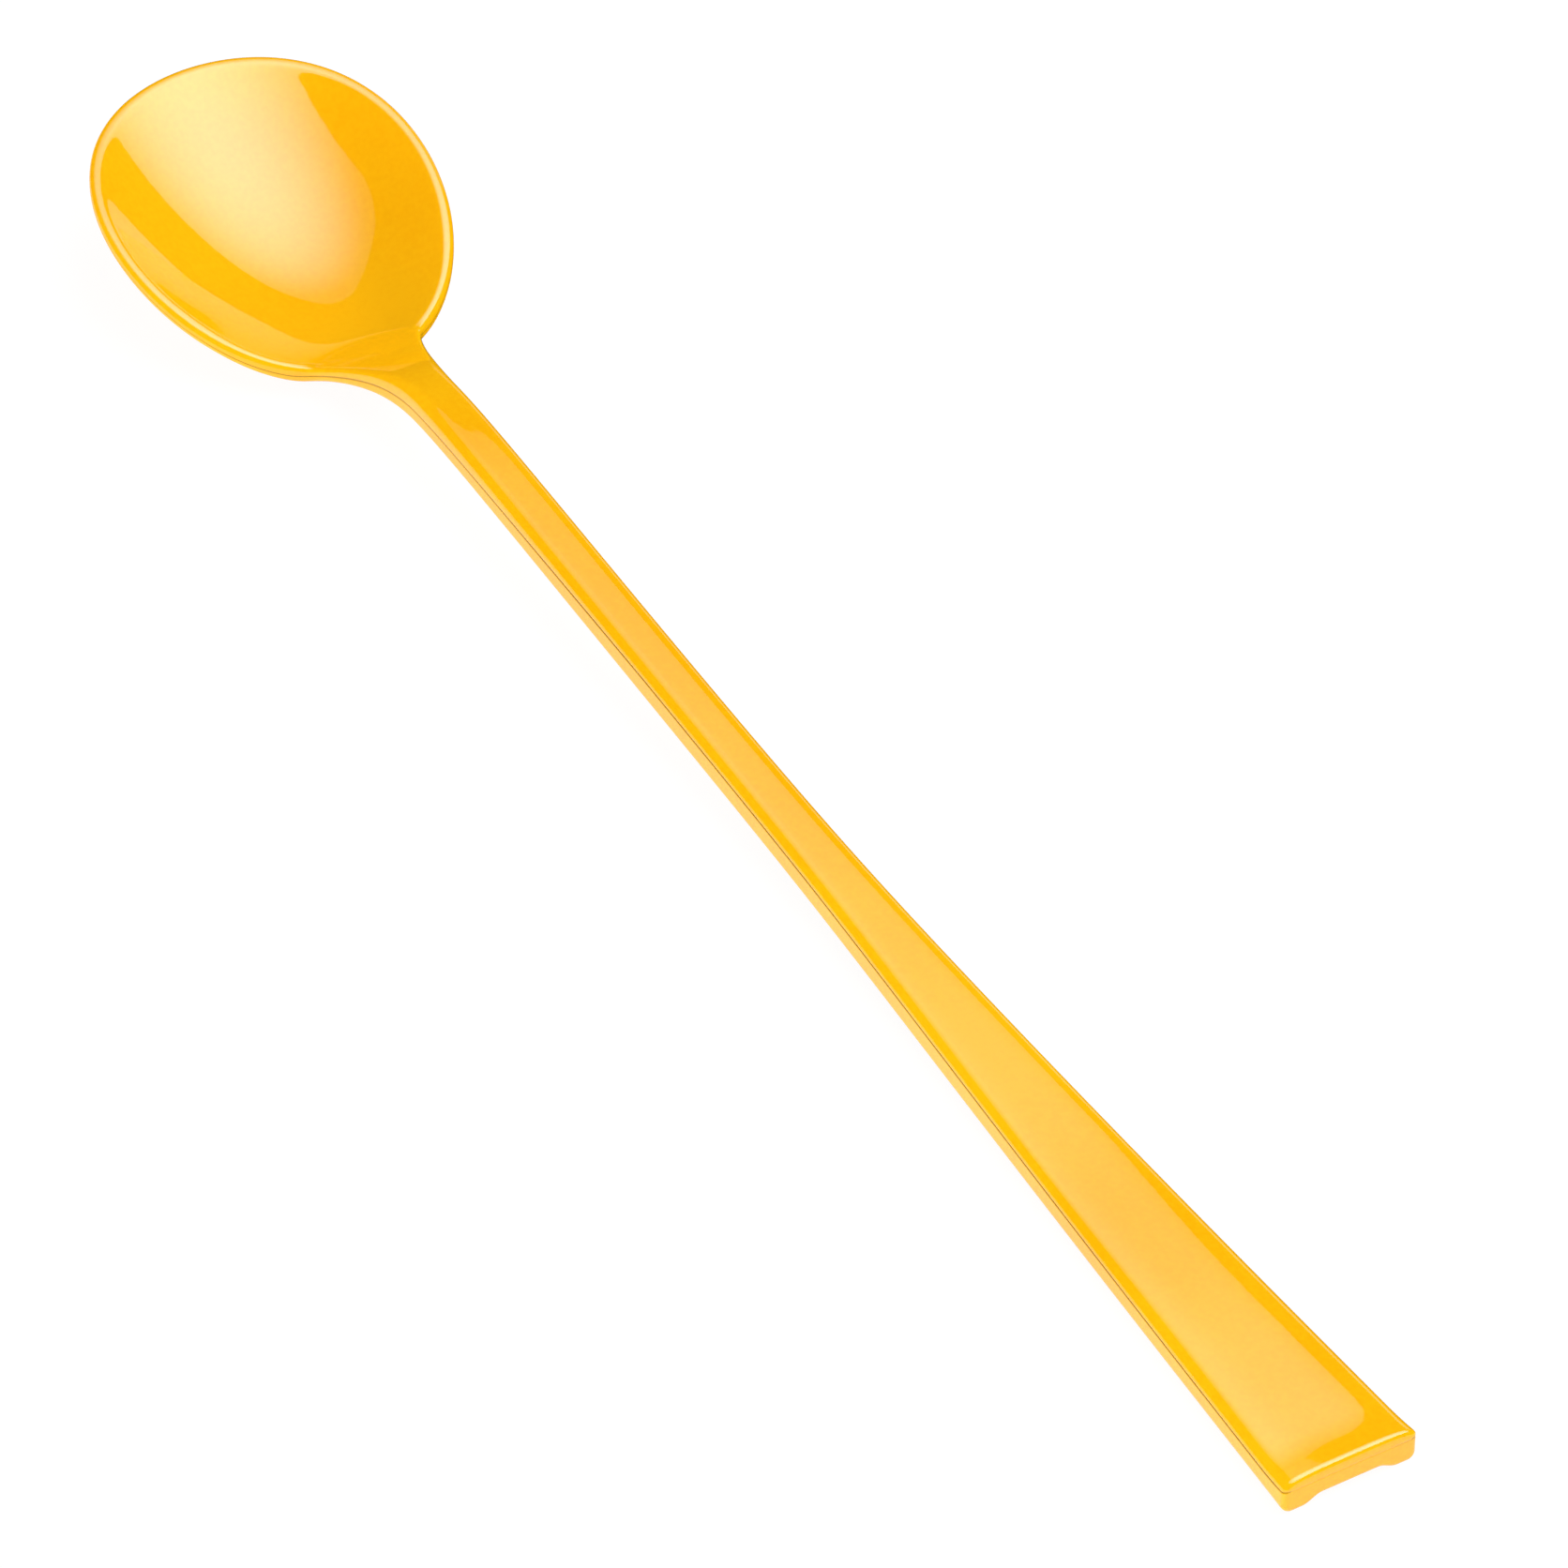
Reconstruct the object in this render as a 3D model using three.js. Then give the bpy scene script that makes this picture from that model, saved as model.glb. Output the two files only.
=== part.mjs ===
// Long-handled spoon: a round dished bowl, a neck that climbs out of it, and a slim shaft
// that flares to a square end.
// The real spoon is one moulding. Its four regions are separate solids here that meet face to face.
// Millimetres, +Z up. The spoon lies on a table, on its bowl and on the two feet under its handle end.
// The handle runs along +X, and Y = 0 is the mirror plane.

import * as THREE from 'three';
import { mergeVertices } from 'three/addons/utils/BufferGeometryUtils.js';

// Whole spoon
const overallLength = 200;
const plasticColour = 0xfbb40f;

// Bowl
const bowlLength = 36;
const bowlWidth = 32.3;
const bowlEgg = 0.055; // share by which the tip half is fuller than an ellipse
const bowlFullness = 0.045; // share by which both ends are fuller than an ellipse
const bowlTilt = 15.6; // degrees that the rim leans up towards the tip
const rimBow = 1.28; // how far the rim drops from a plane at its tip and at the neck
const bowlDepth = 6.17; // from the plane of the rim to the floor of the dish
const floorThickness = 1.5;
const rimLand = 1; // from the outline to the dish
const rimThickness = 1.3; // height of the rim's outer edge
const rimEdgeRadius = 0.62; // outer rounding, which leaves a narrow crest around the dish
const crestRounding = 0.02; // how softly the crest turns into the dish, as a share of its depth

// Neck
const neckLength = 12.3;
const neckRoot = 2; // how far inside the bowl's end the climb starts
const neckClimb = 30.5; // degrees
const neckCrest = 4.1; // softness of the crest above the neck
const neckSweep = 25.5; // radius of the neck's side, seen from above
const neckCorner = 0.55; // softness of the corner where the neck meets the rim
const underCorner = 0.8; // softness of the same corner on the underside
const throatSoftness = 0.9; // softness of the way from the neck down into the dish
const underThroat = 0.12; // the same on the underside, as a share of its depth

// Handle
const shaftWidth = 4.35;
const handleThickness = 3.03;
const handleArc = 1612; // radius of the long bow, seen from the side
const handleCrown = 0.18; // how far the middle of the top stands above its edges
const endCrown = 0.38; // the same at the square end
const crownLength = 45; // from the end, over which the crown grows
const lipLength = 3; // the end of the top turns up a little
const lipRise = 0.25;
const flareLength = 82;
const flareEase = 16.4; // how gradually the shaft turns into the flare
const endWidth = 13.05;
const footLength = 12.5; // level underside at the end
const footWidth = 1.9; // each foot, beside the hollow
const footSlope = 1.9; // from the foot up to the flat web
const hollowDepth = 0.7; // height of the web above the feet

// Edges
const topEdgeDrop = 0.6; // the top's shoulders along the handle
const topEdgeWidth = 1.2;
const bottomEdgeRadius = 0.5;
const endBottomRadius = 0.9; // the same at the feet
const endRadius = 0.5;

// Fineness of the loft
const bowlRows = 30;
const neckRows = 10;
const shaftRows = 8;
const flareRows = 14;
const roundSteps = 3;
const ribSteps = 8;

// Stations along the spoon
const bowlCentre = bowlLength / 2;
const neckEnd = bowlLength + neckLength;
const flareStart = overallLength - flareLength;
const footStart = overallLength - footLength;

const smoothMax = (a, b, size) => (a + b + Math.hypot(a - b, size)) / 2;
const smoothMin = (a, b, size) => (a + b - Math.hypot(a - b, size)) / 2;
const ramp = (x, from, to) => THREE.MathUtils.smoothstep(x, from, to);
const { lerp } = THREE.MathUtils;

// Softness fades in over the neck half of the bowl and out along the shaft.
const neckZone = (x) => ramp(x, bowlCentre, bowlLength) * (1 - ramp(x, neckEnd, flareStart));
const throatZone = (x) => ramp(x, 0.75 * bowlLength, bowlLength) * (1 - ramp(x, neckEnd, flareStart));

// Outline seen from above
function eggFactor(x) {
  const towardsTip = THREE.MathUtils.clamp((bowlCentre - x) / bowlCentre, -1, 1);
  return 1 + bowlEgg * towardsTip + bowlFullness * towardsTip * towardsTip;
}

function bowlHalfWidth(x) {
  const along = (x - bowlCentre) / bowlCentre;
  return bowlWidth / 2 * eggFactor(x) * Math.sqrt(Math.max(0, 1 - along * along));
}

function handleHalfWidth(x) {
  const flare = (run) => smoothMax(run, 0, flareEase);
  const widening = (endWidth - shaftWidth) / 2 * flare(x - flareStart) / flare(flareLength);
  const sweep = Math.max(0, neckEnd - Math.max(x, bowlLength - neckRoot));
  return shaftWidth / 2 + widening + sweep * sweep / (2 * neckSweep);
}

function halfWidth(x) {
  if (x <= bowlCentre) return bowlHalfWidth(x);
  const handle = handleHalfWidth(x) * ramp(x, bowlCentre, bowlLength - neckRoot);
  return smoothMax(bowlHalfWidth(x), handle, neckCorner * neckZone(x));
}

// Edge line seen from the side: the tilted rim, the climb of the neck and the long bow of the handle
const underDepth = bowlDepth + floorThickness - rimThickness;
const tiltSlope = Math.tan(THREE.MathUtils.degToRad(bowlTilt));
const climbSlope = Math.tan(THREE.MathUtils.degToRad(neckClimb));

// The bowl rests on the table, so the middle of its rim stands as high as its underside hangs below.
const tiltDrop = (tiltSlope * bowlCentre) ** 2 / (4 * (underDepth - rimBow));
const rimCentreHeight = rimThickness + underDepth + tiltDrop;

function rimHeight(x) {
  const along = (x - bowlCentre) / bowlCentre;
  return rimCentreHeight - tiltSlope * (x - bowlCentre) - rimBow * along * along;
}

function handleHeight(x) {
  const bow = Math.max(0, footStart - x);
  return handleThickness + bow * bow / (2 * handleArc);
}

function neckHeight(x) {
  const rootX = bowlLength - neckRoot;
  const climb = rimHeight(rootX) + climbSlope * (x - rootX);
  return smoothMin(climb, handleHeight(x), neckCrest * neckZone(x));
}

function underEdgeHeight(x) {
  if (x <= bowlCentre) return rimHeight(x);
  if (x >= flareStart) return neckHeight(x);
  return smoothMax(rimHeight(x), neckHeight(x), underCorner * neckZone(x));
}

// Share of the dish's depth at a point, for an outline drawn in by inset: 1 at the middle, 0 at the rim
function dishShare(x, y, inset, rounding) {
  const along = (x - bowlCentre) / (bowlCentre - inset);
  const across = y / ((bowlWidth / 2 - inset) * eggFactor(x));
  return smoothMax(1 - along * along - across * across, 0, rounding);
}

// The land narrows to the rounding alone where the rim runs out at the neck.
const landWidth = (x) => lerp(rimLand, rimEdgeRadius, ramp(x, 0.7 * bowlLength, bowlLength - neckRoot));

// The top of the handle is flat along the middle, falls off towards its edges and turns up at the end.
function crownHeight(x, y) {
  if (x <= bowlLength) return 0;
  const grown = ramp(x, overallLength - crownLength, overallLength - crownLength / 3);
  const crown = lerp(handleCrown, endCrown, grown) * ramp(x, bowlLength, neckEnd);
  const lip = Math.max(0, 1 - (overallLength - x) / lipLength);
  return crown * (1 - (y / halfWidth(x)) ** 4) + lipRise * lip * lip;
}

// The dish runs on into the neck's climb, softly in the middle and sharply at the edges.
function topHeight(x, y) {
  const dished = rimHeight(x) - bowlDepth * dishShare(x, y, landWidth(x), crestRounding);
  if (x <= bowlCentre) return dished;
  const climbing = neckHeight(x) + crownHeight(x, y);
  if (x >= flareStart) return climbing;
  const fromMiddle = Math.min(1, (y / halfWidth(x)) ** 2);
  return smoothMax(dished, climbing, lerp(throatSoftness, neckCorner / 3, fromMiddle) * neckZone(x));
}

function edgeThickness(x) {
  return lerp(rimThickness, handleThickness, ramp(x, 0.9 * bowlLength, neckEnd));
}

// Flat web between the two feet under the flared end
function webHeight(x, y) {
  if (x <= flareStart) return 0;
  const webHalf = Math.max(0, halfWidth(x) - footWidth);
  const deep = Math.min(1, webHalf / (endWidth / 2 - footWidth));
  return hollowDepth * deep * ramp(webHalf - Math.abs(y), 0, footSlope);
}

function underHeight(x, y) {
  const share = dishShare(x, y, 0, underThroat * throatZone(x));
  return underEdgeHeight(x) - edgeThickness(x) - underDepth * share + webHeight(x, y);
}

// Each rib runs from the middle of the spoon to its edge. In the bowl the ribs fan out.
function spineX(x) {
  const fan = Math.max(0, 1 - x / bowlLength);
  return x + 0.42 * bowlLength * fan * fan;
}

// Half of a section, from the middle of the top around the edge to the middle of the underside
function halfSection({ x, inset }) {
  const edge = new THREE.Vector2(x, halfWidth(x) - inset);
  const spine = new THREE.Vector2(spineX(x), 0);
  const reach = edge.distanceTo(spine);
  const thickness = edgeThickness(x);
  const alongNeck = ramp(x, 0.8 * bowlLength, neckEnd);
  const shoulderDrop = Math.min(lerp(rimEdgeRadius, topEdgeDrop, alongNeck), 0.45 * thickness);
  const shoulder = Math.min(lerp(rimEdgeRadius, topEdgeWidth, alongNeck), 0.55 * reach);
  const footRadius = lerp(bottomEdgeRadius, endBottomRadius, ramp(x, flareStart, overallLength));
  const bottomRadius = Math.min(footRadius, 0.45 * thickness, 0.3 * reach);
  const crest = Math.max(landWidth(x), 1.15 * shoulder) - shoulder;
  const foot = Math.min(Math.max(footWidth, 2 * bottomRadius), 0.5 * reach);
  const top = [];
  const under = [];

  const add = (points, surface, fromEdge, shift) => {
    const plan = edge.clone().lerp(spine, Math.min(1, fromEdge / reach));
    points.push(new THREE.Vector3(plan.x, plan.y, surface(plan.x, plan.y) + shift));
  };

  const crestPlaces = [2, 1, 0.4].map((share) => shoulder + share * crest);
  for (let step = 0; step < ribSteps; step += 1) {
    add(top, topHeight, lerp(reach, crestPlaces[0], step / ribSteps), -inset);
  }
  for (const place of crestPlaces) {
    add(top, topHeight, place, -inset);
  }
  for (let step = 0; step <= roundSteps; step += 1) {
    const turn = step / roundSteps * Math.PI / 2;
    add(top, topHeight, shoulder * (1 - Math.sin(turn)), -inset - shoulderDrop * (1 - Math.cos(turn)));
  }
  for (let step = 0; step <= roundSteps; step += 1) {
    const turn = step / roundSteps * Math.PI / 2;
    const lift = bottomRadius * (1 - Math.sin(turn));
    add(under, underHeight, bottomRadius * (1 - Math.cos(turn)), inset + lift);
  }
  for (let step = 0; step <= ribSteps; step += 1) {
    add(under, underHeight, lerp(foot, reach, step / ribSteps), inset);
  }
  return { top, under };
}

const mirrored = (point) => new THREE.Vector3(point.x, -point.y, point.z);

// Flat end of a loft, as a ladder of triangles between the top and the underside.
// It faces +X, or -X if reversed.
function capTriangles({ top, under }, reversed) {
  const triangles = [];
  let upper = top.length - 1;
  let lower = 0;
  while (upper > 0 || lower + 1 < under.length) {
    const [a, b] = [top[upper], under[lower]];
    const nextUpper = upper > 0 ? top[upper - 1] : null;
    const nextLower = lower + 1 < under.length ? under[lower + 1] : null;
    const stepUpper = nextUpper !== null && (nextLower === null || nextUpper.y >= nextLower.y);
    triangles.push([a, stepUpper ? nextUpper : nextLower, b]);
    if (stepUpper) upper -= 1;
    else lower += 1;
  }
  const bothHalves = [...triangles, ...triangles.map(([a, b, c]) => [a, c, b].map(mirrored))];
  return reversed ? bothHalves.map(([a, b, c]) => [a, c, b]) : bothHalves;
}

// Closed solid through a row of stations. A tip needs no flat end, because both halves meet there.
function loft(name, stations, startsAtTip) {
  const sections = stations.map(halfSection);
  const halves = sections.map(({ top, under }) => [...top, ...under]);
  const triangles = [];
  for (let row = 0; row + 1 < halves.length; row += 1) {
    for (let k = 0; k + 1 < halves[row].length; k += 1) {
      const [a, b] = [halves[row][k], halves[row + 1][k]];
      const [c, d] = [halves[row + 1][k + 1], halves[row][k + 1]];
      triangles.push([a, b, c], [a, c, d]);
      triangles.push([mirrored(a), mirrored(c), mirrored(b)], [mirrored(a), mirrored(d), mirrored(c)]);
    }
  }
  if (!startsAtTip) triangles.push(...capTriangles(sections[0], true));
  triangles.push(...capTriangles(sections[sections.length - 1], false));

  const raw = new THREE.BufferGeometry().setFromPoints(triangles.flat());
  const geometry = mergeVertices(raw, 1e-5);
  geometry.computeVertexNormals();
  const plastic = new THREE.MeshStandardMaterial({ color: plasticColour, roughness: 0.2, metalness: 0 });
  const mesh = new THREE.Mesh(geometry, plastic);
  mesh.name = name;
  return mesh;
}

const evenly = (from, to, count) =>
  Array.from({ length: count + 1 }, (_, k) => ({ x: lerp(from, to, k / count), inset: 0 }));

// Rows crowd together at the tip, where the outline turns fastest.
const bowlStations = evenly(0, 1, bowlRows).map(({ x }) => {
  const widest = 0.85 * Math.PI;
  return { x: bowlLength * (1 - Math.cos(widest * x)) / (1 - Math.cos(widest)), inset: 0 };
});

// The square end is rounded all around by drawing the last sections in.
const endStations = Array.from({ length: roundSteps }, (_, k) => {
  const turn = (k + 1) / roundSteps * Math.PI / 2;
  return { x: overallLength - endRadius * (1 - Math.sin(turn)), inset: endRadius * (1 - Math.cos(turn)) };
});

const flareStations = [
  ...evenly(flareStart, footStart, flareRows),
  ...evenly(footStart, overallLength - endRadius, 3).slice(1),
  ...endStations,
];

const spoon = new THREE.Group();
spoon.name = 'long_handled_spoon';
spoon.position.x = -overallLength / 2;
spoon.add(loft('bowl', bowlStations, true));
spoon.add(loft('neck', evenly(bowlLength, neckEnd, neckRows), false));
spoon.add(loft('shaft', evenly(neckEnd, flareStart, shaftRows), false));
spoon.add(loft('flared_end', flareStations, false));

export default spoon;
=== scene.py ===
import math

import bmesh
import bpy
from mathutils import Matrix, Vector


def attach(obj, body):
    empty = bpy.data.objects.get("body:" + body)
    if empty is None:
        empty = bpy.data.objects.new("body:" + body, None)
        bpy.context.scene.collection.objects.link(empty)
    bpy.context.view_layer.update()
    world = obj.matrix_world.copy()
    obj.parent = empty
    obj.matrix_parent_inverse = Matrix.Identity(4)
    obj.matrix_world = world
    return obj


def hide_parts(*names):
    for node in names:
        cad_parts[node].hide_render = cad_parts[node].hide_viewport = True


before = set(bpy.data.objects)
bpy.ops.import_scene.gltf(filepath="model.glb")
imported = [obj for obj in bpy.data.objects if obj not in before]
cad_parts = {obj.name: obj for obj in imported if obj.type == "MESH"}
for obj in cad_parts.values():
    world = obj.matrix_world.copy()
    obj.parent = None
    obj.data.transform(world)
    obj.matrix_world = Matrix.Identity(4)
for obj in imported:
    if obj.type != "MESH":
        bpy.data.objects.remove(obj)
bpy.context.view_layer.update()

print("frame loaded:", sorted(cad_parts))

# The spoon's sizes are in millimetres, and x runs from the tip of the bowl to the handle's end
bowl = dict(
    length=36.0,
    width=32.3,
    egg=0.055,              # how much fuller the tip half is than an ellipse
    fullness=0.045,         # how much fuller both ends are
    tilt=15.6,              # degrees, rim leaning up towards the tip
    rimBow=1.28,            # rim drops this much from a plane at tip and neck
    depth=6.17,
    floor=1.5,
    land=1.0,               # from the outline to the dish
    rimThickness=1.3,
    rimRound=0.62,          # outer rounding, which leaves a narrow bright crest
    crestRounding=0.02,     # softness of the crest's inner edge, share of the depth
    ribFan=0.42,            # how far the ribs fan out round the tip, share of the length
    tipCrowding=0.85,       # how much the rows crowd together at the tip, up to 1
    rows=104,
)

neck = dict(
    length=12.3,
    root=2.0,               # climb starts this far inside the bowl's end
    climb=30.5,             # degrees
    crest=4.1,              # softness of the way over to the shaft
    sweep=25.5,             # plan radius of the neck's side
    corner=0.55,            # softness between the outlines of bowl and neck
    underCorner=0.8,
    throat=0.35,            # softness of the way down into the dish
    throatEdge=0.33,        # the same at its edges
    underThroat=0.12,
    landFrom=0.7,           # shares of the bowl's length at which its land starts to narrow,
    underFrom=0.75,         # its underside to soften,
    shoulderFrom=0.8,       # its rim to turn into shoulders
    wallFrom=0.9,           # and its wall to thicken
    rows=48,
)

handle = dict(
    length=200.0,           # of the whole spoon
    shaftWidth=4.35,
    thickness=3.03,
    arc=1612.0,             # radius of the long bow seen from the side
    crown=0.18,             # the top falls off this much at its edges
    endCrown=0.45,
    crownPower=4,           # high values keep the middle flat
    crownLength=45.0,       # from the end, where the crown starts to grow
    crownFull=15.0,         # from the end, where it is full
    lipLength=4.0,          # the end turns up a touch
    lipRise=0.32,
    flareLength=82.0,
    flareEase=16.4,
    endWidth=13.05,
    footLength=12.5,
    footWidth=1.9,
    footSlope=1.9,
    hollow=0.7,             # flat web between the two feet
    rows=(64, 64),          # shaft and flare
)

edges = dict(
    topDrop=0.6,            # shoulders of the handle
    topWidth=1.2,
    topShare=0.55,          # most of a rib's reach
    bottom=0.5,
    bottomAtEnd=0.9,
    bottomShare=0.3,
    bottomOfWall=0.35,      # most of the wall's thickness
    end=0.6,
    endBlend=(0.25, 0.9),   # part of the end face over which its rows turn from crown to arch
    least=0.1,              # no rounding is smaller
    steps=8,
)

parting = dict(
    depth=0.1,              # groove where the mould halves met
    width=0.26,
    faint=0.5,              # share of the depth that is left along the bowl and the neck
    atNeck=0.52,            # share of the wall's height, from the top
    atEnd=0.04,
    settled=0.9,            # share of the way to the flare at which it has climbed to the shoulder
    ofWall=0.2,             # most of the wall's height for half its width
    clear=1.6,              # half widths from the wall's ends
    paler=0.6,              # how much its painted shade fades close to the end
    palerLength=1.5,
    onEnd=0.12,             # how dark its painted shade shows on the end face
    # across the groove: place in half widths, and share of the depth
    profile=((-1.3, 0), (-1, 0), (-0.5, 0.85), (0, 1), (0.5, 0.85), (1, 0), (1.3, 0)),
)

# Points along each part of a rib, with finer ones along the land
section = dict(
    dish=26,
    land=12,
    landReach=2.4,
    landShare=0.5,          # most of a rib's reach
    landLeast=1.5,          # shoulder widths
    wall=8,
    under=26,
    merge=1e-4,             # mm, closer points become one
)

bowlCentre = bowl["length"] / 2
neckRoot = bowl["length"] - neck["root"]
neckEnd = bowl["length"] + neck["length"]
flareStart = handle["length"] - handle["flareLength"]
shaftMiddle = (neckEnd + flareStart) / 2
crownStart = handle["length"] - handle["crownLength"]
crownFull = handle["length"] - handle["crownFull"]
lipStart = handle["length"] - handle["lipLength"]
footStart = handle["length"] - handle["footLength"]
underDepth = bowl["depth"] + bowl["floor"] - bowl["rimThickness"]
tiltSlope = math.tan(math.radians(bowl["tilt"]))
climbSlope = math.tan(math.radians(neck["climb"]))
tiltDrop = (tiltSlope * bowlCentre) ** 2 / (4 * (underDepth - bowl["rimBow"]))
rimCentreHeight = bowl["rimThickness"] + underDepth + tiltDrop  # so that the bowl rests on the table


def lerp(a, b, share):
    return a + (b - a) * share


def ramp(x, low, high):
    share = min(1, max(0, (x - low) / (high - low)))
    return share * share * (3 - 2 * share)


def smoothMax(a, b, size):
    return (a + b + math.hypot(a - b, size)) / 2


def smoothMin(a, b, size):
    return (a + b - math.hypot(a - b, size)) / 2


def quarterTurn(step):
    return step / edges["steps"] * math.pi / 2


def neckZone(x, start=bowlCentre):
    return ramp(x, start, bowl["length"]) * (1 - ramp(x, neckEnd, flareStart))


def eggFactor(x):
    towardsTip = min(1, max(-1, (bowlCentre - x) / bowlCentre))
    return 1 + bowl["egg"] * towardsTip + bowl["fullness"] * towardsTip ** 2


def bowlHalfWidth(x):
    along = (x - bowlCentre) / bowlCentre
    return bowl["width"] / 2 * eggFactor(x) * math.sqrt(max(0, 1 - along * along))


def flare(run):
    return smoothMax(run, 0, handle["flareEase"])


def handleHalfWidth(x):
    flared = flare(x - flareStart) / flare(handle["flareLength"])
    sweep = max(0, neckEnd - max(x, neckRoot))
    width = lerp(handle["shaftWidth"], handle["endWidth"], flared)
    return width / 2 + sweep * sweep / (2 * neck["sweep"])


def halfWidth(x):
    if x <= bowlCentre:
        return bowlHalfWidth(x)
    handleSide = handleHalfWidth(x) * ramp(x, bowlCentre, neckRoot)
    return smoothMax(bowlHalfWidth(x), handleSide, neck["corner"] * neckZone(x))


def rimHeight(x):
    along = (x - bowlCentre) / bowlCentre
    return rimCentreHeight - tiltSlope * (x - bowlCentre) - bowl["rimBow"] * along * along


def handleHeight(x):
    return handle["thickness"] + max(0, footStart - x) ** 2 / (2 * handle["arc"])


def neckHeight(x):
    climbing = rimHeight(neckRoot) + climbSlope * (x - neckRoot)
    return smoothMin(climbing, handleHeight(x), neck["crest"] * neckZone(x))


def edgeHeight(x):
    if x <= bowlCentre:
        return rimHeight(x)
    if x >= flareStart:
        return neckHeight(x)
    return smoothMax(rimHeight(x), neckHeight(x), neck["underCorner"] * neckZone(x))


def dishShare(x, y, inset, rounding):
    along = (x - bowlCentre) / (bowlCentre - inset)
    across = y / ((bowl["width"] / 2 - inset) * eggFactor(x))
    return smoothMax(1 - along * along - across * across, 0, rounding)


def landWidth(x):
    narrowed = ramp(x, neck["landFrom"] * bowl["length"], neckRoot)
    return lerp(bowl["land"], bowl["rimRound"], narrowed)


def crownHeight(x, y):
    if x <= bowl["length"]:
        return 0
    lip = max(0, (x - lipStart) / handle["lipLength"])
    crown = lerp(handle["crown"], handle["endCrown"], ramp(x, crownStart, crownFull))
    crown *= ramp(x, bowl["length"], neckEnd)
    return crown * (1 - (y / halfWidth(x)) ** handle["crownPower"]) + handle["lipRise"] * lip * lip


# The dish runs on into the neck's climb
def topHeight(x, y):
    dished = rimHeight(x) - bowl["depth"] * dishShare(x, y, landWidth(x), bowl["crestRounding"])
    if x <= bowlCentre:
        return dished
    climbing = neckHeight(x) + crownHeight(x, y)
    if x >= flareStart:
        return climbing
    fromMiddle = min(1, (y / halfWidth(x)) ** 2)
    softness = lerp(neck["throat"], neck["throatEdge"], fromMiddle)
    return smoothMax(dished, climbing, softness * neckZone(x))


def edgeThickness(x):
    thickened = ramp(x, neck["wallFrom"] * bowl["length"], neckEnd)
    return lerp(bowl["rimThickness"], handle["thickness"], thickened)


def underHeight(x, y):
    softness = neck["underThroat"] * neckZone(x, neck["underFrom"] * bowl["length"])
    web = 0
    if x > flareStart:
        webHalf = halfWidth(x) - handle["footWidth"]
        deep = min(1, max(0, webHalf) / (handle["endWidth"] / 2 - handle["footWidth"]))
        web = handle["hollow"] * deep * ramp(webHalf - abs(y), 0, handle["footSlope"])
    return edgeHeight(x) - edgeThickness(x) - underDepth * dishShare(x, y, 0, softness) + web


def spineX(x):
    fan = max(0, 1 - x / bowl["length"])
    return x + bowl["ribFan"] * bowl["length"] * fan * fan


# One rib of the skin, from the middle of the top round the edge to the middle of the underside.
# Each point has its place and how much of the parting line shows there, as painted shade in its
# groove.
def ribPoints(x, inset):
    edge = Vector((x, halfWidth(x) - inset))
    spine = Vector((spineX(x), 0))
    inward = (spine - edge).normalized()
    reach = (edge - spine).length

    alongNeck = ramp(x, neck["shoulderFrom"] * bowl["length"], neckEnd)
    shoulder = min(lerp(bowl["rimRound"], edges["topWidth"], alongNeck), edges["topShare"] * reach)
    shoulder = max(edges["least"], shoulder - inset)
    shoulderDrop = lerp(bowl["rimRound"], edges["topDrop"], alongNeck)
    shoulderDrop = max(edges["least"], shoulderDrop - inset)
    bottom = lerp(edges["bottom"], edges["bottomAtEnd"], ramp(x, flareStart, handle["length"]))
    bottom = min(bottom, edges["bottomOfWall"] * edgeThickness(x), edges["bottomShare"] * reach)
    bottom = max(edges["least"], bottom - inset)
    landReach = min(section["landReach"], section["landShare"] * reach)
    landReach = max(section["landLeast"] * shoulder, landReach)
    points = []

    def put(surface, fromEdge, lift):
        plan = edge.lerp(spine, min(1, fromEdge / reach))
        points.append((plan.x, plan.y, surface(plan.x, plan.y) + lift, 0))

    for step in range(section["dish"]):
        put(topHeight, lerp(reach, landReach, step / section["dish"]), -inset)
    for step in range(section["land"]):
        put(topHeight, lerp(landReach, shoulder, step / section["land"]), -inset)
    for step in range(edges["steps"] + 1):
        turn = quarterTurn(step)
        drop = shoulderDrop * (1 - math.cos(turn))
        put(topHeight, shoulder * (1 - math.sin(turn)), -inset - drop)

    # wall with the parting line, which climbs from its middle to the shoulder
    wallTop = points[-1][2]
    wallBottom = underHeight(*edge) + inset + bottom
    wall = wallTop - wallBottom
    half = min(parting["width"] / 2, parting["ofWall"] * wall)
    climbed = ramp(x, bowl["length"], parting["settled"] * flareStart)
    clear = parting["clear"] * half
    below = lerp(parting["atNeck"], parting["atEnd"], climbed) * wall
    below = min(wall - clear, max(clear, below))
    strength = lerp(parting["faint"], 1, ramp(x, neckEnd, shaftMiddle))
    closeToEnd = ramp(x, handle["length"] - parting["palerLength"], handle["length"])
    # how much painted shade the groove gets here, fading close to the end
    shown = strength * (1 - parting["paler"] * closeToEnd)
    for offset, depth in parting["profile"]:
        plan = edge + inward * parting["depth"] * strength * depth
        points.append((plan.x, plan.y, wallTop - below - offset * half, depth * shown))
    grooveBottom = points[-1][2]
    for step in range(1, section["wall"] + 1):
        z = lerp(grooveBottom, wallBottom, step / (section["wall"] + 1))
        points.append((edge.x, edge.y, z, 0))

    for step in range(edges["steps"] + 1):
        turn = quarterTurn(step)
        rise = bottom * (1 - math.sin(turn))
        put(underHeight, bottom * (1 - math.cos(turn)), inset + rise)
    for step in range(1, section["under"] + 1):
        put(underHeight, lerp(bottom, reach, step / section["under"]), inset)
    return points


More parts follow.
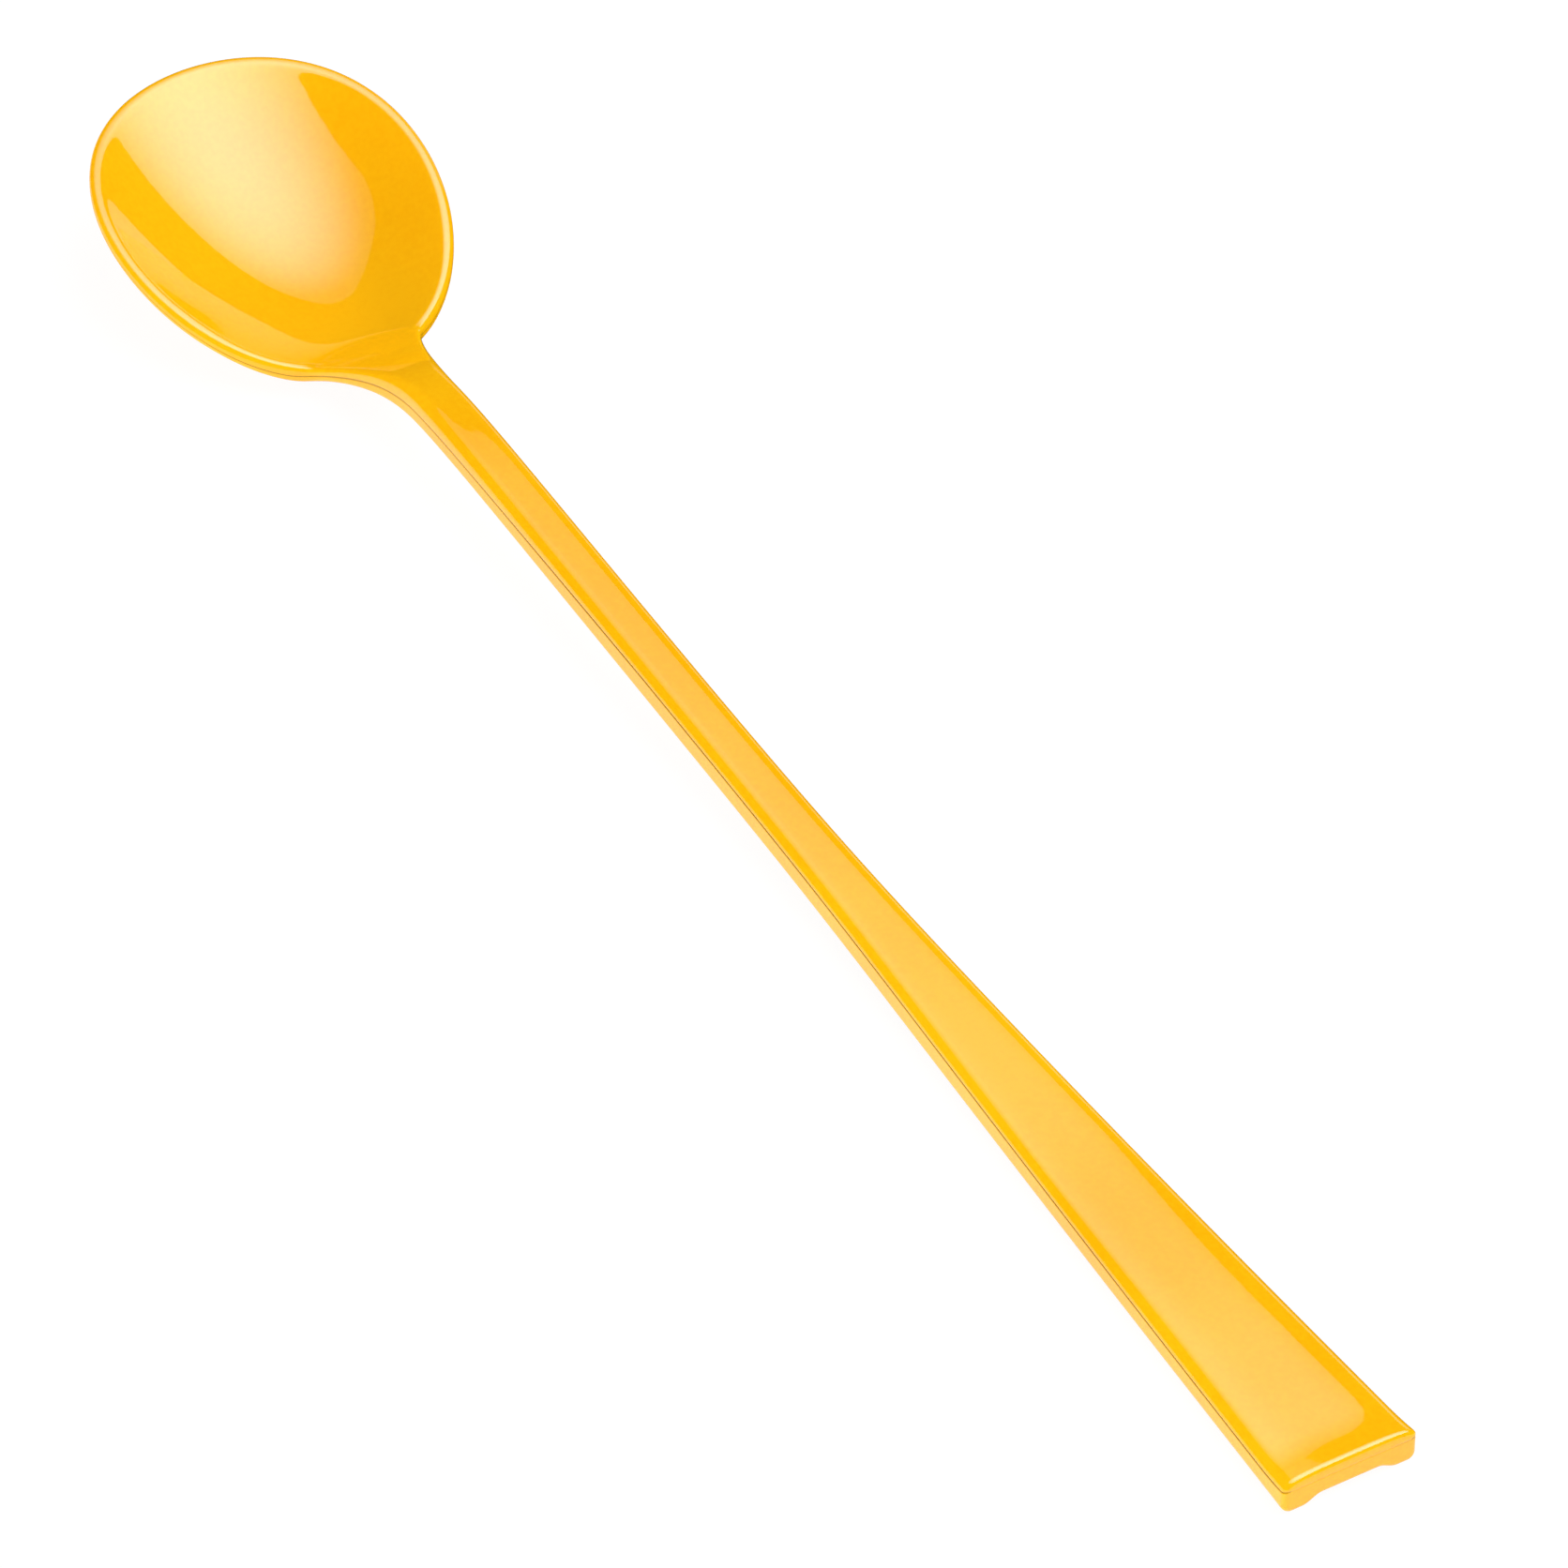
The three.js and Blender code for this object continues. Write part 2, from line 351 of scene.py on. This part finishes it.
# Where the ribs stand, and how far the end's rounding draws them in
def ribStations():
    widest = bowl["tipCrowding"] * math.pi
    perTurn = bowl["length"] / (1 - math.cos(widest))
    stations = [(perTurn * (1 - math.cos(widest * k / bowl["rows"])), 0) for k in range(bowl["rows"])]
    straight = handle["length"] - edges["end"]
    for start, stop, rows in ((bowl["length"], neckEnd, neck["rows"]),
                              (neckEnd, flareStart, handle["rows"][0]),
                              (flareStart, straight, handle["rows"][1])):
        stations += [(lerp(start, stop, k / rows), 0) for k in range(rows)]
    for step in range(edges["steps"] + 1):
        turn = quarterTurn(step)
        stations.append((straight + edges["end"] * math.sin(turn),
                         edges["end"] * (1 - math.cos(turn))))
    return stations


def buildSpoon():
    ribs = [ribPoints(x, inset) for x, inset in ribStations()]
    rowCount, ribCount = len(ribs) - 1, len(ribs[0]) - 1
    bm = bmesh.new()
    seamShade = bm.verts.layers.float.new("partingLineShade")
    bmesh.ops.create_grid(bm, x_segments=rowCount, y_segments=ribCount, size=1)
    for vert in bm.verts:
        row = round((vert.co.x + 1) / 2 * rowCount)
        rib = round((vert.co.y + 1) / 2 * ribCount)
        vert.co, vert[seamShade] = ribs[row][rib][:3], ribs[row][rib][3]

    # flat end face: columns from the top to the underside, rows level with those of the wall
    ring = ribs[-1]
    columns = section["under"]
    rows = ribCount - 2 * columns
    top, base = ring[columns][2], ring[ribCount - columns][2]
    endFace = bmesh.ops.create_grid(bm, x_segments=columns, y_segments=rows, size=1)["verts"]
    for vert in endFace:
        column = round((vert.co.x + 1) / 2 * columns)
        row = round((vert.co.y + 1) / 2 * rows)
        upper, lower, beside = ring[column], ring[ribCount - column], ring[columns + row]
        share = (top - beside[2]) / (top - base)
        place = Vector(upper[:3]).lerp(Vector(lower[:3]), share)
        place.z = lerp(upper[2] - top + beside[2], place.z, ramp(share, *edges["endBlend"]))
        if column == columns:
            place = Vector(beside[:3])
        elif 0 < row < rows:
            # the groove runs on round the end face, with fainter painted shade
            place.x -= parting["depth"] * beside[3]
            vert[seamShade] = parting["onEnd"] * beside[3]
        vert.co = place

    bmesh.ops.mirror(bm, geom=bm.verts[:] + bm.edges[:] + bm.faces[:], matrix=Matrix.Identity(4),
                     merge_dist=section["merge"], axis="Y")
    bmesh.ops.remove_doubles(bm, verts=bm.verts[:], dist=section["merge"])
    bmesh.ops.translate(bm, verts=bm.verts[:], vec=(-handle["length"] / 2, 0, 0))
    bmesh.ops.scale(bm, verts=bm.verts[:], vec=(0.001, 0.001, 0.001))  # to metres
    bmesh.ops.recalc_face_normals(bm, faces=bm.faces[:])
    for face in bm.faces:
        face.smooth = True
    openEdges = sum(1 for edge in bm.edges if not edge.is_manifold)
    mesh = bpy.data.meshes.new("spoon_moulding")
    bm.to_mesh(mesh)
    bm.free()
    spoon = bpy.data.objects.new("spoon_moulding", mesh)
    bpy.context.scene.collection.objects.link(spoon)
    print("spoon skin:", len(mesh.polygons), "faces, open edges:", openEdges)
    return spoon


def hexColour(code):
    channels = [int(code[k:k + 2], 16) / 255 for k in (1, 3, 5)]
    return [c / 12.92 if c <= 0.04045 else ((c + 0.055) / 1.055) ** 2.4 for c in channels] + [1]


def perMetre(millimetres):
    return 1000 / millimetres


def addNode(tree, kind, inputs=None, **settings):
    node = tree.nodes.new(kind)
    for name, value in settings.items():
        setattr(node, name, value)
    for socket, value in (inputs or {}).items():
        if isinstance(value, bpy.types.NodeSocket):
            tree.links.new(value, node.inputs[socket])
        else:
            node.inputs[socket].default_value = value
    return node


def newMaterial(name):
    material = bpy.data.materials.new(name)
    material.use_nodes = True
    material.node_tree.nodes.clear()
    return material, material.node_tree


amber = dict(
    light="#fcbb0c",
    deep="#f8b106",
    # painted shade for the parting line's groove
    seamShade="#140b00",
    cloud=28.0,             # mm, colour drift from the flow of the melt
    cloudRange=(0.35, 0.65),
    speck=0.55,             # mm, pigment specks, drawn coarser than real so that they show
    speckRange=(0.3, 0.7),
    speckShare=0.3,
    peel=1.6,               # mm, faint waviness copied from the polished mould
    peelHeight=2.5e-6,      # metres
    roughness=(0.03, 0.05),
    glossRange=(0.3, 0.7),  # of the cloud
    specular=0.5,           # fades out in the parting line
    ior=1.57,
)


# Polystyrene, injection moulded in a polished tool: deep even amber with a wet-looking gloss,
# a faint waviness in the reflections and a fine line where the mould halves met, darkened with
# painted shade and without specular
def moulded():
    material, tree = newMaterial("polystyrene_polished_moulding")
    place = addNode(tree, "ShaderNodeTexCoord").outputs["Object"]
    cloud = addNode(tree, "ShaderNodeTexNoise",
                    {"Vector": place, "Scale": perMetre(amber["cloud"]), "Detail": 2.0})
    speck = addNode(tree, "ShaderNodeTexNoise",
                    {"Vector": place, "Scale": perMetre(amber["speck"]), "Detail": 1.0})
    peel = addNode(tree, "ShaderNodeTexNoise",
                   {"Vector": place, "Scale": perMetre(amber["peel"]), "Detail": 1.0})
    drift = addNode(tree, "ShaderNodeMapRange",
                    {"Value": cloud.outputs["Fac"],
                     "From Min": amber["cloudRange"][0], "From Max": amber["cloudRange"][1]})
    grain = addNode(tree, "ShaderNodeMapRange",
                    {"Value": speck.outputs["Fac"],
                     "From Min": amber["speckRange"][0], "From Max": amber["speckRange"][1],
                     "To Min": -amber["speckShare"], "To Max": amber["speckShare"]})
    blend = addNode(tree, "ShaderNodeMath", {0: drift.outputs[0], 1: grain.outputs[0]},
                    operation="ADD", use_clamp=True)
    body = addNode(tree, "ShaderNodeMix",
                   {"Factor": blend.outputs[0], "A": hexColour(amber["deep"]),
                    "B": hexColour(amber["light"])}, data_type="RGBA")
    # the parting line's mask mixes painted shade into the colour and fades the specular out
    line = addNode(tree, "ShaderNodeAttribute", attribute_name="partingLineShade")
    colour = addNode(tree, "ShaderNodeMix",
                     {"Factor": line.outputs["Fac"], "A": body.outputs["Result"],
                      "B": hexColour(amber["seamShade"])}, data_type="RGBA")
    gloss = addNode(tree, "ShaderNodeMapRange",
                    {"Value": cloud.outputs["Fac"],
                     "From Min": amber["glossRange"][0], "From Max": amber["glossRange"][1],
                     "To Min": amber["roughness"][0], "To Max": amber["roughness"][1]})
    shine = addNode(tree, "ShaderNodeMapRange",
                    {"Value": line.outputs["Fac"], "To Min": amber["specular"], "To Max": 0.0})
    wave = addNode(tree, "ShaderNodeBump",
                   {"Height": peel.outputs["Fac"], "Distance": amber["peelHeight"]})
    plastic = addNode(tree, "ShaderNodeBsdfPrincipled",
                      {"Base Color": colour.outputs["Result"], "Roughness": gloss.outputs[0],
                       "Normal": wave.outputs["Normal"], "IOR": amber["ior"],
                       "Specular IOR Level": shine.outputs[0]})
    addNode(tree, "ShaderNodeOutputMaterial", {"Surface": plastic.outputs[0]})
    return material


# The studio is in metres
def stagePlane(name, matrix, size, material, cornerRadius=0):
    bm = bmesh.new()
    bmesh.ops.create_grid(bm, x_segments=1, y_segments=1, size=0.5)
    bmesh.ops.scale(bm, verts=bm.verts[:], vec=(size[0], size[1], 1))
    if cornerRadius:
        bmesh.ops.bevel(bm, geom=bm.verts[:], affect="VERTICES", offset=cornerRadius,
                        segments=8, profile=0.5, material=-1)
    bmesh.ops.transform(bm, verts=bm.verts[:], matrix=matrix)
    mesh = bpy.data.meshes.new(name)
    bm.to_mesh(mesh)
    bm.free()
    mesh.materials.append(material)
    plane = bpy.data.objects.new(name, mesh)
    bpy.context.scene.collection.objects.link(plane)
    return plane


def onlyMirrored(plane):
    plane.visible_camera = False
    plane.visible_diffuse = False
    plane.visible_shadow = False


floor = dict(
    size=(8.0, 8.0),
    white="#f4f4f2",
    glow=0.9,               # share of the floor that shows as plain white
    level=1.05,             # just past white
)


# Matt white paper: shows as plain white, and still takes the spoon's shadow
def paperMaterial():
    material, tree = newMaterial("white_paper")
    rays = addNode(tree, "ShaderNodeLightPath").outputs
    seen = addNode(tree, "ShaderNodeMath", {0: rays["Is Camera Ray"], 1: rays["Is Glossy Ray"]},
                   operation="MAXIMUM")
    seen = addNode(tree, "ShaderNodeMath", {0: seen.outputs[0], 1: rays["Is Transmission Ray"]},
                   operation="MAXIMUM")
    share = addNode(tree, "ShaderNodeMath", {0: seen.outputs[0], 1: floor["glow"]},
                    operation="MULTIPLY")
    matt = addNode(tree, "ShaderNodeBsdfDiffuse", {"Color": hexColour(floor["white"])})
    white = addNode(tree, "ShaderNodeEmission", {"Color": (1, 1, 1, 1), "Strength": floor["level"]})
    both = addNode(tree, "ShaderNodeMixShader",
                   {0: share.outputs[0], 1: matt.outputs[0], 2: white.outputs[0]})
    addNode(tree, "ShaderNodeOutputMaterial", {"Surface": both.outputs[0]})
    return material


cloth = dict(
    corner=(0.098, 0.006, 0.0003),  # beside the handle's end, just above the floor
    turn=1.7,               # degrees
    size=(2.0, 2.5),
    black="#0a0a0a",
)


# Black velvet: mirrors as dark, so that far edges stand out from the white paper
def velvetMaterial():
    material, tree = newMaterial("black_velvet")
    pile = addNode(tree, "ShaderNodeBsdfDiffuse", {"Color": hexColour(cloth["black"])})
    addNode(tree, "ShaderNodeOutputMaterial", {"Surface": pile.outputs[0]})
    return material


def layCloth():
    wide, deep = cloth["size"]
    lie = Matrix.Translation(cloth["corner"])
    lie @= Matrix.Rotation(math.radians(cloth["turn"]), 4, "Z")
    lie @= Matrix.Translation((-wide / 2, deep / 2, 0))
    onlyMirrored(stagePlane("dark_cloth", lie, cloth["size"], velvetMaterial()))


card = dict(
    centre=(-0.08, 0.0, 0.0),
    bearing=128.0,          # degrees, low white card behind the bowl
    distance=0.72,
    size=(0.54, 0.19),
    shine=(0.04, 1.0),
    fade=(-0.3, 0.55),      # where the fade starts and ends, in widths
    rise=0.5,               # how much of the fade runs up the card
)


# White card, lit from one side: fades away from the lamp and towards its foot
def cardMaterial():
    material, tree = newMaterial("white_card")
    place = addNode(tree, "ShaderNodeTexCoord").outputs["Object"]
    wide, high = card["size"]
    slope = addNode(tree, "ShaderNodeVectorMath", {0: place, 1: (-1 / wide, card["rise"] / high, 0)},
                    operation="DOT_PRODUCT")
    fade = addNode(tree, "ShaderNodeMapRange",
                   {"Value": slope.outputs["Value"],
                    "From Min": card["fade"][0], "From Max": card["fade"][1],
                    "To Min": card["shine"][0], "To Max": card["shine"][1]})
    white = addNode(tree, "ShaderNodeEmission", {"Strength": fade.outputs[0]})
    addNode(tree, "ShaderNodeOutputMaterial", {"Surface": white.outputs[0]})
    return material


def standCard():
    bearing = math.radians(card["bearing"])
    up = Vector((0, 0, 1))
    away = Vector((math.cos(bearing), math.sin(bearing), 0))
    upright = Matrix((up.cross(away), up, -away)).transposed().to_4x4()
    foot = Vector(card["centre"]) + away * card["distance"]
    plane = stagePlane("white_card", Matrix.Translation((0, card["size"][1] / 2, 0)), card["size"],
                       cardMaterial())
    plane.matrix_world = Matrix.Translation(foot) @ upright
    onlyMirrored(plane)


lamps = {
    "key_light": dict(place=(0.12, 0.3, 0.55), size=(0.7, 0.7), level=2.62),
    "fill_light": dict(place=(-0.02, -0.55, 0.025), size=(0.9, 0.05), level=16.0),  # below the rim
    "end_light": dict(place=(0.4, -0.1, 0.06), size=(0.2, 0.1), level=3.6),
}


# Lamps light the surfaces, and the gloss mirrors only the staged planes
def areaLamp(name, values):
    lamp = bpy.data.lights.new(name, "AREA")
    lamp.shape = "RECTANGLE"
    lamp.size, lamp.size_y = values["size"]
    lamp.energy = values["level"] * math.pi * lamp.size * lamp.size_y
    lampObject = bpy.data.objects.new(name, lamp)
    facing = Vector(values["place"]).to_track_quat("Z", "Y").to_matrix().to_4x4()
    lampObject.matrix_world = Matrix.Translation(values["place"]) @ facing
    lampObject.visible_camera = False
    lampObject.visible_glossy = False
    bpy.context.scene.collection.objects.link(lampObject)


panel = dict(
    target=(-0.082, 0.0, 0.004),
    away=(0.238, 0.318, 0.918),     # from the target to the panel
    distance=0.65,
    alongAxis=(0.83, 0.423, -0.362),
    along=(-0.955, 0.33),   # the panel's edges, from above the target
    across=(-0.462, 0.541),
    lift=0.01,
    cornerRadius=0.28,
    tint="#faf3ff",
    middle=(0.07, -0.01),   # hot spot
    spread=(0.44, 0.315),
    fade=2.4,               # spreads from the hot spot to its dimmest
    shine=7.2,
    rimShine=0.5,
)


# White diffuser cloth with one lamp behind it: bright in the middle, dimmer towards its edges
def panelMaterial():
    material, tree = newMaterial("diffuser_cloth")
    place = addNode(tree, "ShaderNodeTexCoord").outputs["Object"]
    scale = [1 / spread for spread in panel["spread"]]
    shift = [-middle * each for middle, each in zip(panel["middle"], scale)]
    fromMiddle = addNode(tree, "ShaderNodeMapping",
                         {"Vector": place, "Scale": (*scale, 0), "Location": (*shift, 0)})
    distance = addNode(tree, "ShaderNodeVectorMath", {0: fromMiddle.outputs[0]}, operation="LENGTH")
    fade = addNode(tree, "ShaderNodeMapRange",
                   {"Value": distance.outputs["Value"], "From Min": 0.0, "From Max": panel["fade"],
                    "To Min": panel["shine"], "To Max": panel["rimShine"]},
                   interpolation_type="SMOOTHSTEP")
    glow = addNode(tree, "ShaderNodeEmission",
                   {"Color": hexColour(panel["tint"]), "Strength": fade.outputs[0]})
    addNode(tree, "ShaderNodeOutputMaterial", {"Surface": glow.outputs[0]})
    return material


def hangPanel():
    away = Vector(panel["away"]).normalized()
    along = Vector(panel["alongAxis"])
    along = (along - away * along.dot(away)).normalized()
    turn = Matrix((along, away.cross(along), away)).transposed().to_4x4()
    reach = (panel["along"], panel["across"])
    size = [high - low for low, high in reach]
    middle = [(high + low) / 2 for low, high in reach]
    plane = stagePlane("light_panel", Matrix.Translation((*middle, panel["lift"])), size,
                       panelMaterial(), panel["cornerRadius"])
    plane.matrix_world = Matrix.Translation(Vector(panel["target"]) + away * panel["distance"]) @ turn
    onlyMirrored(plane)


room = dict(
    ambient=0.47,           # even light from all round
    dark=0.012,             # what the gloss mirrors away from the floor and the staged planes
    white=1.0,              # what the camera sees past the floor
)


def fillRoom():
    world = bpy.data.worlds.new("studio")
    world.use_nodes = True
    tree = world.node_tree
    tree.nodes.clear()
    rays = addNode(tree, "ShaderNodeLightPath").outputs
    light = addNode(tree, "ShaderNodeMapRange",
                    {"Value": rays["Is Glossy Ray"], "To Min": room["ambient"],
                     "To Max": room["dark"]})
    strength = addNode(tree, "ShaderNodeMapRange",
                       {"Value": rays["Is Camera Ray"], "To Min": light.outputs[0],
                        "To Max": room["white"]})
    air = addNode(tree, "ShaderNodeBackground",
                  {"Color": (1, 1, 1, 1), "Strength": strength.outputs[0]})
    addNode(tree, "ShaderNodeOutputWorld", {"Surface": air.outputs[0]})
    bpy.context.scene.world = world


view = dict(
    location=(0.57746, -0.33980, 0.60087),
    right=(0.5122, 0.8589, 0.0018),
    up=(-0.5741, 0.3408, 0.7445),
    lens=235.3,
    sensor=36,
    clipEnd=20,
)


def placeCamera():
    camera = bpy.data.cameras.new("camera")
    camera.sensor_width = view["sensor"]
    camera.lens = view["lens"]
    camera.clip_end = view["clipEnd"]
    cameraObject = bpy.data.objects.new("camera", camera)
    right = Vector(view["right"]).normalized()
    up = Vector(view["up"])
    up = (up - right * up.dot(right)).normalized()
    turn = Matrix((right, up, right.cross(up))).transposed().to_4x4()
    cameraObject.matrix_world = Matrix.Translation(view["location"]) @ turn
    bpy.context.scene.collection.objects.link(cameraObject)
    bpy.context.scene.camera = cameraObject


placeCamera()
print("camera placed")

spoon = buildSpoon()
spoon.data.materials.append(moulded())
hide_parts("bowl", "neck", "shaft", "flared_end")
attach(spoon, "root")

stagePlane("floor", Matrix.Identity(4), floor["size"], paperMaterial())
layCloth()
standCard()
for lampName, lampValues in lamps.items():
    areaLamp(lampName, lampValues)
hangPanel()
fillRoom()
print("studio built")

bpy.context.scene.view_settings.view_transform = "Standard"
